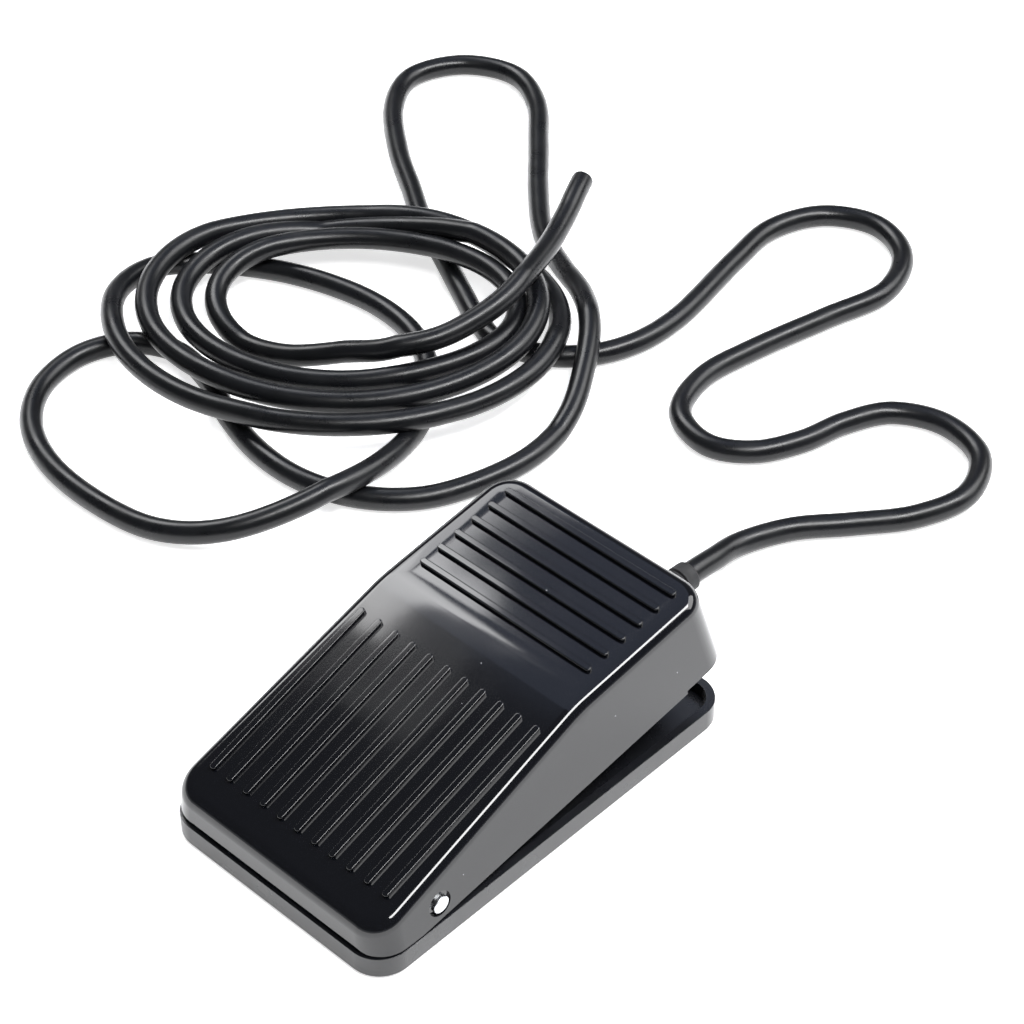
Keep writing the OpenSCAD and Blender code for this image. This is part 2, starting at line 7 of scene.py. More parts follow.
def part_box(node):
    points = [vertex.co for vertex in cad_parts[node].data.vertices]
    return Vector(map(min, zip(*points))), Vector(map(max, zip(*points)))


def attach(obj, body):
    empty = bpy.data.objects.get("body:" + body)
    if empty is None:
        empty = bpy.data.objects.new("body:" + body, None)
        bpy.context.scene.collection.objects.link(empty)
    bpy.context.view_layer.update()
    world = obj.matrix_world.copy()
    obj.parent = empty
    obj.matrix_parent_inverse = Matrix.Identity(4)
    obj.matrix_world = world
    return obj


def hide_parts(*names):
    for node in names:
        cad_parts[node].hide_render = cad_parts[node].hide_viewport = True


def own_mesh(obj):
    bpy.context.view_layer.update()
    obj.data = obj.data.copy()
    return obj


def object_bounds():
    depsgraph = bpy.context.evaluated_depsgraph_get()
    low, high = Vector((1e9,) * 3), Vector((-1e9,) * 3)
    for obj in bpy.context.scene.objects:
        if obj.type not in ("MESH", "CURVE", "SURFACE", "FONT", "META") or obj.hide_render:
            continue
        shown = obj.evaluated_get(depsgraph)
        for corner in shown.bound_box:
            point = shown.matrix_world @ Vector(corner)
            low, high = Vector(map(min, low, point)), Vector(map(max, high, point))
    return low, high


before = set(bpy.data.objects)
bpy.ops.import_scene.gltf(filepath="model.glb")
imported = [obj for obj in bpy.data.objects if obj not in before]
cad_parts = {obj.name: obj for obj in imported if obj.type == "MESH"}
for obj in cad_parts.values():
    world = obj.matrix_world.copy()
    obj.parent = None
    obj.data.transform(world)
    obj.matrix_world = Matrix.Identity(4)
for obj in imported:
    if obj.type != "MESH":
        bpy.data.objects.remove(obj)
cadBox = [list(corner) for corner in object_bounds()]
mm = 0.001


def clearSelection():
    if bpy.context.object and bpy.context.object.mode != "OBJECT":
        bpy.ops.object.mode_set(mode="OBJECT")
    bpy.ops.object.select_all(action="DESELECT")


def work(piece):  # makes one piece the active and only selected one
    clearSelection()
    piece.select_set(True)
    bpy.context.view_layer.objects.active = piece


def named(name):
    piece = bpy.context.object
    piece.name = name
    piece.data.name = name
    return piece


def place(piece):  # puts the object's place into its mesh
    work(piece)
    bpy.ops.object.transform_apply(location=True, rotation=True, scale=True)
    return piece


def addBox(name, low, high):
    clearSelection()
    low, high = Vector(low), Vector(high)
    bpy.ops.mesh.primitive_cube_add(size=1, location=(low + high) / 2, scale=high - low)
    return place(named(name))


def addRod(name, radius, start, end, sides=48):
    clearSelection()
    start, end = Vector(start), Vector(end)
    turn = (end - start).to_track_quat("Z", "Y").to_euler()
    bpy.ops.mesh.primitive_cylinder_add(vertices=sides, radius=radius, depth=(end - start).length,
                                        location=(start + end) / 2, rotation=turn)
    return place(named(name))


def pick(piece, kind, test):  # selects only what passes the test, and enters edit mode
    work(piece)
    bpy.ops.object.mode_set(mode="EDIT")
    bpy.ops.mesh.select_all(action="DESELECT")
    bpy.ops.mesh.select_mode(type=kind)
    bpy.ops.object.mode_set(mode="OBJECT")
    mesh = piece.data
    points = mesh.vertices
    if kind == "VERT":
        for v in points:
            v.select = test(v.co)
    if kind == "EDGE":
        for e in mesh.edges:
            e.select = test(points[e.vertices[0]].co, points[e.vertices[1]].co)
    if kind == "FACE":
        for p in mesh.polygons:
            p.select = test(p.center, p.normal)
    bpy.ops.object.mode_set(mode="EDIT")


def done():
    bpy.ops.object.mode_set(mode="OBJECT")


def bevelEdges(piece, test, width, segments):
    pick(piece, "EDGE", test)
    bpy.ops.mesh.bevel(offset=width, segments=segments, profile=0.5, affect="EDGES",
                       clamp_overlap=True)
    done()


def modify(piece, kind, **settings):
    work(piece)
    step = piece.modifiers.new(kind.lower(), kind)
    for key, value in settings.items():
        setattr(step, key, value)
    bpy.ops.object.modifier_apply(modifier=step.name)


def cutWith(piece, *tools):
    for tool in tools:
        modify(piece, "BOOLEAN", operation="DIFFERENCE", object=tool, solver="EXACT")
        bpy.data.objects.remove(tool)


def joinAll(piece, others):
    clearSelection()
    for other in others:
        other.select_set(True)
    piece.select_set(True)
    bpy.context.view_layer.objects.active = piece
    bpy.ops.object.join()
    return piece


def copyOf(piece, name, offset):
    twin = piece.copy()
    twin.data = piece.data.copy()
    twin.name = name
    twin.data.name = name
    bpy.context.collection.objects.link(twin)
    twin.data.transform(Matrix.Translation(offset))
    return twin


def smoothed(piece, angle):
    work(piece)
    bpy.ops.object.shade_smooth_by_angle(angle=math.radians(angle))
    modify(piece, "WEIGHTED_NORMAL", keep_sharp=True, weight=80)
    return piece


camera = {
    "stand": (0.3111, -0.3054, 0.4575),
    "azimuth": 43.85,  # degrees round from the toe end
    "elevation": 41.448,
    "roll": -0.361,
    "lens": 104.76,
}


def setCamera():
    a, e = math.radians(camera["azimuth"]), math.radians(camera["elevation"])
    back = Vector((math.sin(a) * math.cos(e), -math.cos(a) * math.cos(e), math.sin(e)))
    right = (-back).cross(Vector((0, 0, 1))).normalized()
    up = back.cross(right)
    r = math.radians(camera["roll"])
    across = right * math.cos(r) + up * math.sin(r)
    above = up * math.cos(r) - right * math.sin(r)
    turn = Matrix((across, above, back)).transposed()
    clearSelection()
    bpy.ops.object.camera_add(location=camera["stand"], rotation=turn.to_euler())
    lensHolder = bpy.context.object
    lensHolder.data.lens = camera["lens"]
    lensHolder.data.sensor_width = 36
    lensHolder.data.clip_start = 0.01
    bpy.context.scene.camera = lensHolder


setCamera()
print("camera set")

lead = {
    "thick": 5.6 * mm,
    "length": 2.15,
    "exit": (0, 0.0755, 0.0056),
    "start": [(0, 0.0525, 0.0056), (0, 0.064, 0.0056), (0, 0.0755, 0.0056)],  # inside the relief
    # across, behind the heel edge, lift above the floor, in mm
    "bends": [
        (0, 31, 2), (0, 41, 0.4), (5, 53, 0), (14, 64, 0), (23, 76, 0), (27, 90, 0), (21, 103, 0),
        (8, 107, 0), (-4, 102, 0), (-10, 91, 0), (-13, 79, 0), (-19, 68, 0), (-29, 62.5, 0),
        (-41, 67, 0), (-46, 81, 0), (-44, 98, 0), (-39, 120, 0), (-35, 138, 0), (-41, 153, 0),
        (-54, 159, 0), (-67, 153, 0), (-73, 139, 0), (-71, 122, 0), (-66, 94, 0), (-68, 76, 0),
        (-77, 63, 0), (-91, 57, 0), (-102, 60, 2.8), (-112, 65, 5.8), (-127, 73, 6),
        (-141, 80, 5.6), (-153, 88, 2.4), (-168, 98, 0), (-184, 112, 0), (-191, 126, 0),
        (-185, 140, 0), (-171, 146, 0), (-157, 140, 0), (-143, 126, 0), (-128, 110, 0),
        (-114, 97, 0), (-99, 88, 0)],
    "loop": [
        (-86, 81, 2), (-75, 72, 6), (-66, 60, 6), (-59, 47, 3.2), (-56, 32, 0), (-58, 17, 0),
        (-64, 3, 2.2), (-75, -7, 6), (-89, -12, 2.8), (-104, -12, 0), (-119, -8, 0), (-133, -2, 0),
        (-147, 0, 0), (-158, -6, 0), (-163, -18, 0), (-160, -32, 0), (-150, -43, 0),
        (-135, -49, 0), (-117, -50, 0), (-100, -47, 0), (-87, -38, 0), (-79, -24, 0),
        (-76, -8, 0), (-78, 8, 0), (-84, 22, 0), (-94, 35, 0), (-107, 44, 0), (-122, 47, 0),
        (-138, 45, 0), (-154, 39, 0), (-167, 29, 0), (-174, 16, 0)],
    "tail": [(-100, 27, 1.6), (-92.5, 36, 4.8), (-89.5, 48, 6), (-90, 61, 6), (-95, 76, 6),
             (-101, 90, 6), (-108, 105, 3.8)],
    "turns": 3.25,
    "pointsPerTurn": 16,
    "coilAcross": (57, 46),  # half sizes of the first turn, in mm
    "coilShrink": (6.8, 7.2),  # how much each turn is smaller
    "coilAt": (-123, 33.5),
    "coilCreep": (0.1, 2.2),  # how far the centre moves with each turn
    "coilTilt": 35,
    "sampleStep": 1.5 * mm,
    "freeFrom": 60,  # samples from the tray after which the lead is free to settle
    "stretch": 80 * mm,  # length that settles in one go
    "apart": 1.02,  # strands lie this many thicknesses apart
    "another": 6,  # thicknesses along the lead before it counts as another strand
    "ease": 46 * mm,  # length over which the lead climbs onto another strand
    "crest": 0.12,  # share of that length at full height
    "spare": 1.3 * mm,  # extra rise at a crossing, which the evening out takes back
    "even": 13,  # samples to each side over which the height is evened out
    "endLift": 16 * mm,
    "endSamples": 30,
}


def laid(points):
    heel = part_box("base_tray")[1].y
    return [Vector((x * mm, heel + y * mm, lead["thick"] / 2 + z * mm)) for x, y, z in points]


def coilPoint(t):
    angle = math.radians(180 + 360 * t)
    tilt = math.radians(lead["coilTilt"])
    p = (lead["coilAcross"][0] - lead["coilShrink"][0] * t) * math.cos(angle)
    q = (lead["coilAcross"][1] - lead["coilShrink"][1] * t) * math.sin(angle)
    x = lead["coilAt"][0] + lead["coilCreep"][0] * t + p * math.cos(tilt) - q * math.sin(tilt)
    y = lead["coilAt"][1] + lead["coilCreep"][1] * t + p * math.sin(tilt) + q * math.cos(tilt)
    return laid([(x, y, 0)])[0]


def smoothPath(points, step):  # close samples of a smooth curve through the points
    ends = [2 * points[0] - points[1]] + points + [2 * points[-1] - points[-2]]
    path = []
    for a, b, c, d in zip(ends, ends[1:], ends[2:], ends[3:]):
        count = max(2, round((c - b).length / step))
        for k in range(count):
            t = k / count
            path.append(0.5 * (2 * b + (c - a) * t + (2 * a - 5 * b + 4 * c - d) * t * t
                               + (3 * b - a - 3 * c + d) * t ** 3))
    path.append(points[-1].copy())
    return path


# each stretch of the lead lies as low as the strands laid before it let it
def settle(path, first, block):
    rest = lead["thick"] / 2
    thick = lead["thick"] * lead["apart"]
    walked = [0.0]
    for a, b in zip(path, path[1:]):
        walked.append(walked[-1] + (b - a).xy.length)
    for start in range(first, len(path), block):
        stop = min(start + block, len(path))
        need = []
        for i in range(start, stop):
            z = rest
            gaps = []
            for j in range(i):
                away = (path[j].xy - path[i].xy).length
                if away < thick and walked[i] - walked[j] > lead["another"] * thick:
                    rise = math.sqrt(thick * thick - away * away)
                    gaps.append((path[j].z - rise, path[j].z + rise + lead["spare"]))
            for low, high in sorted(gaps):
                if low < z < high - 1e-9:
                    z = high
            need.append(z)
            path[i].z = z
        for i in range(start, stop):
            best = 0
            for k in range(start, stop):
                far = abs(walked[k] - walked[i]) / lead["ease"]
                if far < 1:
                    down = max(0, (far - lead["crest"]) / (1 - lead["crest"]))
                    share = 0.5 + 0.5 * math.cos(math.pi * down)
                    best = max(best, (need[k - start] - rest) * share)
            path[i].z = rest + best
    heights = [p.z for p in path]
    for i in range(first, len(path)):  # the lead is too stiff to bend sharply over a strand
        span = min(lead["even"], i - first, len(path) - 1 - i)
        path[i].z = sum(heights[i - span:i + span + 1]) / (2 * span + 1)
    last = lead["endLift"] + rest
    for k in range(1, lead["endSamples"] + 1):  # the cut end stands clear of the floor
        share = 1 - (k - 1) / lead["endSamples"]
        share = share * share * (3 - 2 * share)
        path[-k].z += (last - path[-k].z) * share
    for point in path:
        point.z = max(point.z, rest)
    return path


def layLead():
    count = round(lead["turns"] * lead["pointsPerTurn"])
    turns = [coilPoint(i / lead["pointsPerTurn"]) for i in range(count + 1)]
    start = [Vector(p) for p in lead["start"]]
    handLaid = start + laid(lead["bends"] + lead["loop"])
    path = smoothPath(handLaid + turns + laid(lead["tail"]), lead["sampleStep"])
    return settle(path, lead["freeFrom"], round(lead["stretch"] / lead["sampleStep"]))


def makeLead():
    path = layLead()
    curve = bpy.data.curves.new("leadCord", "CURVE")
    curve.dimensions = "3D"
    curve.bevel_depth = lead["thick"] / 2
    curve.bevel_resolution = 6
    curve.use_fill_caps = True
    curve.resolution_u = 1
    line = curve.splines.new("POLY")
    line.points.add(len(path) - 1)
    for point, spot in zip(line.points, path):
        point.co = (*spot, 1)
    line.use_smooth = True
    cord = bpy.data.objects.new("leadCord", curve)
    bpy.context.collection.objects.link(cord)
    return cord, path


cord, cordPath = makeLead()
print("lead laid,", len(cordPath), "points")


def fromHex(code):  # sRGB hex to the linear colour that the shader wants
    parts = [int(code[i:i + 2], 16) / 255 for i in (1, 3, 5)]
    return (*[c / 12.92 if c <= 0.04045 else ((c + 0.055) / 1.055) ** 2.4 for c in parts], 1)


def addNode(tree, kind, inputs=None, **settings):
    made = tree.nodes.new(kind)
    for key, value in settings.items():
        setattr(made, key, value)
    for key, value in (inputs or {}).items():
        if isinstance(value, bpy.types.NodeSocket):
            tree.links.new(value, made.inputs[key])
        else:
            made.inputs[key].default_value = value
    return made


def startMaterial(name, **constants):
    material = bpy.data.materials.new(name)
    material.use_nodes = True
    tree = material.node_tree
    tree.nodes.clear()
    shader = addNode(tree, "ShaderNodeBsdfPrincipled", constants)
    addNode(tree, "ShaderNodeOutputMaterial", {"Surface": shader.outputs[0]})
    where = addNode(tree, "ShaderNodeTexCoord").outputs["Object"]
    return material, tree, shader, where


# soft random patches of a real size
def patches(tree, where, sizeMm, detail=2.0, squeeze=(1, 1, 1)):
    spread = addNode(tree, "ShaderNodeMapping", {"Vector": where, "Scale": squeeze})
    return addNode(tree, "ShaderNodeTexNoise", {
        "Vector": spread.outputs[0], "Scale": 1 / (sizeMm * mm), "Detail": detail}).outputs["Fac"]


def between(tree, value, low, high, fromLow=0.3, fromHigh=0.7):
    return addNode(tree, "ShaderNodeMapRange", {
        "Value": value, "From Min": fromLow, "From Max": fromHigh,
        "To Min": low, "To Max": high}).outputs[0]


def blendOf(tree, value, dark, light, fromLow=0.35, fromHigh=0.65):
    ramp = addNode(tree, "ShaderNodeValToRGB", {"Fac": value})
    for stop, at, code in zip(ramp.color_ramp.elements, (fromLow, fromHigh), (dark, light)):
        stop.position = at
        stop.color = fromHex(code)
    return ramp.outputs[0]


def raisedBy(tree, height, depthMm, over=None):
    settings = {"Height": height, "Distance": depthMm * mm}
    if over:
        settings["Normal"] = over
    return addNode(tree, "ShaderNodeBump", settings).outputs[0]


def wire(tree, shader, colour, rough, normal):
    tree.links.new(colour, shader.inputs["Base Color"])
    tree.links.new(rough, shader.inputs["Roughness"])
    tree.links.new(normal, shader.inputs["Normal"])


# ABS from a mirror-polished mould: a deep black skin that reflects like glass, a little wavy
# where the wall sank as it cooled, with a few specks of dust
def polishedAbs():
    material, tree, shader, where = startMaterial("polishedAbs", IOR=1.54)
    dust = addNode(tree, "ShaderNodeTexVoronoi", {
        "Vector": where, "Scale": 1 / (9 * mm)}).outputs["Distance"]
    tint = blendOf(tree, dust, "#85868a", "#08090d", 0.012, 0.02)
    sink = raisedBy(tree, patches(tree, where, 21, 1), 0.07)
    wire(tree, shader, tint, between(tree, patches(tree, where, 30), 0.055, 0.085),
         raisedBy(tree, patches(tree, where, 4, 1), 0.0015, sink))
    return material


# ABS from a fine-ground mould: the same black, but its reflections are softer
def mouldedAbs():
    material, tree, shader, where = startMaterial("mouldedAbs", IOR=1.54)
    wire(tree, shader, blendOf(tree, patches(tree, where, 14, 3), "#0c0d10", "#131418"),
         between(tree, patches(tree, where, 9, 3), 0.24, 0.34),
         raisedBy(tree, patches(tree, where, 0.5, 2), 0.006))
    return material


# extruded PVC jacket: satin black, slightly uneven along its length, with a fine drag grain
def extrudedPvc():
    material, tree, shader, where = startMaterial("extrudedPvc", **{
        "IOR": 1.5, "Specular IOR Level": 0.36})
    grain = raisedBy(tree, patches(tree, where, 0.8, 3), 0.014)
    wire(tree, shader, blendOf(tree, patches(tree, where, 20, 3), "#08090b", "#0e0f12"),
         between(tree, patches(tree, where, 6, 3), 0.25, 0.36),
         raisedBy(tree, patches(tree, where, 12, 1), 0.08, grain))
    return material


# finishes that differ only in colour, patch size and grain; sizes in mm
finishes = {
    # thermoplastic rubber: dull dark grey, nearly no shine
    "mouldedRubber": {"dark": "#131314", "light": "#1f1f21", "patch": 4, "rough": (0.62, 0.78),
                      "grain": 0.4, "deep": 0.012, "constants": {"IOR": 1.5}},
    # phenolic switch case: hard matte black with a faint brown cast
    "pressedPhenolic": {"dark": "#141312", "light": "#201e1c", "patch": 3, "rough": (0.42, 0.55),
                        "grain": 0.3, "deep": 0.006, "constants": {"IOR": 1.6}},
    # glass-filled nylon: dark grey, with the fibres just showing as a mottle
    "mouldedNylon": {"dark": "#232427", "light": "#34363a", "patch": 1.2, "rough": (0.45, 0.6),
                     "grain": 0.25, "deep": 0.008, "constants": {"IOR": 1.53}},
    # acetal button: clean red, waxy shine
    "mouldedAcetal": {"dark": "#8e1813", "light": "#b3261e", "patch": 1.5, "rough": (0.28, 0.36),
                      "grain": 0.3, "deep": 0.002, "constants": {"IOR": 1.48}},
    # red PVC on a core: bright, smooth from the die
    "redPvc": {"dark": "#a82a22", "light": "#cf4438", "patch": 3, "rough": (0.3, 0.4),
               "grain": 0.3, "deep": 0.003, "constants": {"IOR": 1.53}},
    # black PVC on a core
    "blackPvc": {"dark": "#18181a", "light": "#27272a", "patch": 3, "rough": (0.3, 0.4),
                 "grain": 0.3, "deep": 0.003, "constants": {"IOR": 1.53}},
    # nickel-plated steel, turned: bright, with rings left by the tool, drawn coarse enough to see
    "platedSteel": {"dark": "#b9bbbe", "light": "#dcdee1", "patch": 2, "rough": (0.22, 0.32),
                    "grain": 0.35, "deep": 0.002, "constants": {"Metallic": 1.0}},
    # drawn spring wire: grey steel with a slight draw along it
    "drawnSteel": {"dark": "#8b8d91", "light": "#b4b6ba", "patch": 2, "rough": (0.26, 0.38),
                   "grain": 0.3, "deep": 0.003, "constants": {"Metallic": 1.0}},
    # cold-rolled strip: even grey, with rolling lines along Y
    "rolledSteel": {"dark": "#9c9ea2", "light": "#bfc1c5", "patch": 1, "rough": (0.25, 0.36),
                    "squeeze": (6, 1, 6), "grain": 0.25, "deep": 0.002,
                    "constants": {"Metallic": 1.0}},
    # phosphor bronze strip: reddish gold, a little tarnished
    "rolledBronze": {"dark": "#8f5b34", "light": "#c08a58", "patch": 1.5, "rough": (0.28, 0.4),
                     "squeeze": (5, 1, 5), "grain": 0.25, "deep": 0.002,
                     "constants": {"Metallic": 1.0}},
    # silver contact: pale, with a soft bloom
    "castSilver": {"dark": "#bfc0c0", "light": "#e6e6e4", "patch": 0.8, "rough": (0.25, 0.4),
                   "grain": 0.2, "deep": 0.002, "constants": {"Metallic": 1.0}},
    # stamped brass strip: yellow, dulled by handling
    "stampedBrass": {"dark": "#9a7a3a", "light": "#cdae62", "patch": 1.5, "rough": (0.26, 0.42),
                     "grain": 0.25, "deep": 0.002, "constants": {"Metallic": 1.0}},
    # zinc-plated screws: bluish grey, slightly cloudy
    "zincPlate": {"dark": "#83868c", "light": "#b3b7bd", "patch": 1.2, "rough": (0.3, 0.45),
                  "grain": 0.25, "deep": 0.003, "constants": {"Metallic": 1.0}},
}


def makeFinish(name):
    recipe = finishes[name]
    material, tree, shader, where = startMaterial(name, **recipe["constants"])
    squeeze = recipe.get("squeeze", (1, 1, 1))
    wire(tree, shader,
         blendOf(tree, patches(tree, where, recipe["patch"], 3, squeeze),
                 recipe["dark"], recipe["light"]),
         between(tree, patches(tree, where, recipe["patch"] * 0.6, 2, squeeze), *recipe["rough"]),
         raisedBy(tree, patches(tree, where, recipe["grain"], 2, squeeze), recipe["deep"]))
    return material


materials = {name: makeFinish(name) for name in finishes}
materials.update(polishedAbs=polishedAbs(), mouldedAbs=mouldedAbs(), extrudedPvc=extrudedPvc())
print("finishes made,", len(materials))


def dress(piece, body, slot, finish, *stoodFor):  # what every new piece is told
    piece.data.materials.clear()
    piece.data.materials.append(materials[finish])
    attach(piece, body)
    if stoodFor:
        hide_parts(*stoodFor)


# pieces that keep their CAD shape
nodeFinishes = {
    "switch_case": "pressedPhenolic", "switch_cover": "mouldedNylon", "cord_clamp": "mouldedNylon",
    "wire_sleeves": "mouldedNylon", "switch_plunger": "mouldedAcetal",
    "switch_lever": "rolledSteel", "lever_pin": "platedSteel", "contact_blade": "rolledBronze",
    "moving_contact": "castSilver", "fixed_contacts": "castSilver",
    "terminal_common": "stampedBrass", "terminal_open": "stampedBrass",
    "terminal_closed": "stampedBrass", "switch_screws": "zincPlate", "clamp_screws": "zincPlate",
    "inner_cord": "extrudedPvc", "core_red_inside": "redPvc", "core_black_inside": "blackPvc",
}
for node, finish in nodeFinishes.items():
    for slot in bpy.data.objects[node].material_slots:
        slot.material = materials[finish]


def shift(piece, test, by):
    pick(piece, "VERT", test)
    bpy.ops.transform.translate(value=by)
    done()


def turnAll(piece, degrees, axis, about):  # counter-clockwise seen from the axis's tip
    pick(piece, "VERT", lambda v: True)
    bpy.ops.transform.rotate(value=-math.radians(degrees), orient_axis=axis, orient_type="GLOBAL",
                             center_override=about)
    done()


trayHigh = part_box("base_tray")[1]
pinLow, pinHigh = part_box("hinge_pin")
pinAt = (pinLow + pinHigh) / 2

cover = {
    "skirt": 7.1 * mm,  # lowest edge, with the top planes level
    "heel": 27.5 * mm,
    "ridgeBack": 42.3 * mm,
    "toeDrop": 12.1 * mm,
    "lean": 7,  # degrees
    "corner": 6.8 * mm,
    "edge": 2.6 * mm,
    "ridgeSoft": 2.2 * mm,
    "wall": 2.2 * mm,
    "rise": 7.3,  # degrees from level to rest
    "panelIn": (2.4 * mm, 1.2 * mm, 0.12 * mm),  # margin, slope and depth of the heel panel
    "toeCut": 6.4 * mm,
    "step": (14 * mm, 7.9 * mm),  # how far in from the heel and how high the skirt is stepped
    "notch": (6.6 * mm, 6 * mm, 13.6 * mm),  # half width, depth and top of the cable's opening
    "bore": 2.05 * mm,
    "recess": (2.9 * mm, 0.5 * mm),  # radius and depth round the pin
    "past": 50 * mm,  # cutting tools reach this far to each side
    "behind": 80 * mm,  # and this far back
}
ribs = {
    "wide": 1.65 * mm, "high": 0.9 * mm, "root": 0.6 * mm, "soft": 0.64 * mm,
    "toeCount": 11, "toeSide": 6.5 * mm, "toeBack": 8.3 * mm, "toeFront": 9 * mm,
    "heelCount": 6, "heelSide": 7.3 * mm, "heelEdge": 8 * mm, "heelPitch": 5.2 * mm,
}


def makeRib(name, length, alongY):
    half, low, high = ribs["wide"] / 2, -ribs["root"], ribs["high"]
    across, along = (half, length / 2) if alongY else (length / 2, half)
    rib = addBox(name, (-across, -along, low), (across, along, high))
    bevelEdges(rib, lambda a, b: abs(a.z - b.z) > half, half * 0.97, 5)  # round ends
    bevelEdges(rib, lambda a, b: a.z > high - 1e-6 and b.z > high - 1e-6, ribs["soft"], 5)
    return rib


def makeCover():
    wide, long, top, low = trayHigh.x, trayHigh.y, cover["heel"], cover["skirt"]
    ridge = long - cover["ridgeBack"]
    slope = math.atan(cover["toeDrop"] / (ridge + long))
    lean = math.tan(math.radians(cover["lean"]))
    piece = addBox("pedalCover", (-wide, -long, low), (wide, long, top))
    pick(piece, "FACE", lambda c, n: True)
    bpy.ops.mesh.bisect(plane_co=(0, ridge, 0), plane_no=(0, 1, 0))
    done()
    toeTop = low + (top - cover["toeDrop"] - low) / (1 - lean * math.tan(slope))
    shift(piece, lambda v: v.z > top - 1e-5 and v.y < ridge - 0.01,
          (0, (toeTop - low) * lean, toeTop - top))
    shift(piece, lambda v: v.z > top - 1e-5 and v.y > ridge + 0.01, (0, (low - top) * lean, 0))
    for side in (-1, 1):
        shift(piece, lambda v: v.z > top - 1e-5 and v.x * side > 0.02,
              (-side * (top - low) * lean, 0, 0))
        shift(piece, lambda v: v.y < -0.045 and v.z > low + 1e-3 and v.x * side > 0.02,
              (-side * (toeTop - low) * lean, 0, 0))
    bevelEdges(piece, lambda a, b: abs(a.z - b.z) > 0.005 and min(abs(a.y), abs(b.y)) > 0.045,
               cover["corner"], 9)
    bevelEdges(piece, lambda a, b: min(a.z, b.z) > low + 0.006
               and not (abs(a.y - ridge) < 1e-4 and abs(b.y - ridge) < 1e-4), cover["edge"], 6)
    bevelEdges(piece, lambda a, b: abs(a.y - ridge) < 6e-4 and abs(b.y - ridge) < 6e-4
               and min(a.z, b.z) > top - 0.0035, cover["ridgeSoft"], 5)
    pick(piece, "FACE", lambda c, n: n.z > 0.9999 and c.z > top - 1e-4 and c.y > ridge + 0.004)
    margin, edge, deep = cover["panelIn"]
    bpy.ops.mesh.inset(thickness=margin, depth=0)
    bpy.ops.mesh.inset(thickness=edge, depth=-deep)
    done()
    pick(piece, "FACE", lambda c, n: n.z < -0.9 and c.z < low + 1e-4)
    bpy.ops.mesh.delete(type="FACE")
    done()
    modify(piece, "SOLIDIFY", thickness=cover["wall"], offset=-1, use_even_offset=True)
    stepBack, stepUp = cover["step"]
    notchWide, notchDeep, notchUp = cover["notch"]
    recess, sunk = cover["recess"]
    past, behind = cover["past"], cover["behind"]
    pinEnd = wide - (pinAt.z - low) * lean
    y, z = pinAt.y, pinAt.z
    cutWith(piece,
            addBox("stepTool", (-past, long - stepBack, 0), (past, behind, stepUp)),
            addBox("notchTool", (-notchWide, long - notchDeep, 0), (notchWide, behind, notchUp)),
            addRod("boreTool", cover["bore"], (-past, y, z), (past, y, z)),
            addRod("recessTool1", recess, (pinEnd - sunk, y, z), (past, y, z)),
            addRod("recessTool2", recess, (-past, y, z), (sunk - pinEnd, y, z)))
    parts = coverInside(top, ridge, slope)
    toeLong = (ridge + long) / math.cos(slope) - ribs["toeBack"] - ribs["toeFront"]
    first = makeRib("toeRib", toeLong, True)
    shift(first, lambda v: True, (0, -ribs["toeBack"] - toeLong / 2, 0))
    turnAll(first, math.degrees(slope), "X", (0, 0, 0))
    pitch = (2 * wide - 2 * ribs["toeSide"]) / (ribs["toeCount"] - 1)
    shift(first, lambda v: True, (ribs["toeSide"] - wide, ridge, top))
    parts += [first] + [copyOf(first, "toeRib", (i * pitch, 0, 0))
                        for i in range(1, ribs["toeCount"])]
    cross = makeRib("heelRib", 2 * wide - 2 * ribs["heelSide"], False)
    shift(cross, lambda v: True, (0, long - ribs["heelEdge"], top - cover["panelIn"][2]))
    parts += [cross] + [copyOf(cross, "heelRib", (0, -i * ribs["heelPitch"], 0))
                        for i in range(1, ribs["heelCount"])]
    joinAll(piece, parts)
    turnAll(piece, cover["rise"], "X", pinAt)
    pick(piece, "FACE", lambda c, n: True)
    bpy.ops.mesh.bisect(plane_co=(0, 0, cover["toeCut"]), plane_no=(0, 0, 1), clear_inner=True,
                        use_fill=True)
    done()
    return smoothed(piece, 36)


inside = {
    "boss": (3.8 * mm, 27.76 * mm, 2.4 * mm),  # radius, inner face, length
    "nose": (1.5 * mm, 2 * mm, -8.55 * mm, 20.82 * mm),  # radius, half width, y, z
    "spigot": (2.1 * mm, 28.16 * mm, 21.3 * mm),  # radius, y, lowest point
}


def coverInside(top, ridge, slope):  # hinge bosses, the nose over the switch, the spring's spigot
    made = []
    radius, start, length = inside["boss"]
    for side in (-1, 1):
        boss = addRod("hingeBoss", radius, (side * start, pinAt.y, pinAt.z),
                      (side * (start + length), pinAt.y, pinAt.z))
        cutWith(boss, addRod("bossBore", cover["bore"], (-cover["past"], pinAt.y, pinAt.z),
                             (cover["past"], pinAt.y, pinAt.z)))
        made.append(boss)
    radius, half, y, z = inside["nose"]
    roof = top - (ridge - y) * math.tan(slope) - cover["wall"] + 0.0006
    nose = addBox("coverNose", (-half, y - radius, z - radius), (half, y + radius, roof))
    bevelEdges(nose, lambda a, b: max(a.z, b.z) < z and abs(a.x - b.x) > half, radius * 0.97, 5)
    radius, y, low = inside["spigot"]
    spigot = addRod("springSpigot", radius, (0, y, low), (0, y, top - cover["wall"] + 0.0005), 40)
    bevelEdges(spigot, lambda a, b: max(a.z, b.z) < low + 1e-5, 0.7 * mm, 3)
    return made + [nose, spigot]


pedalCover = makeCover()
dress(pedalCover, "cover", "gloss_black_abs", "polishedAbs", "pedal_cover")
print("cover made,", len(pedalCover.data.polygons), "faces")


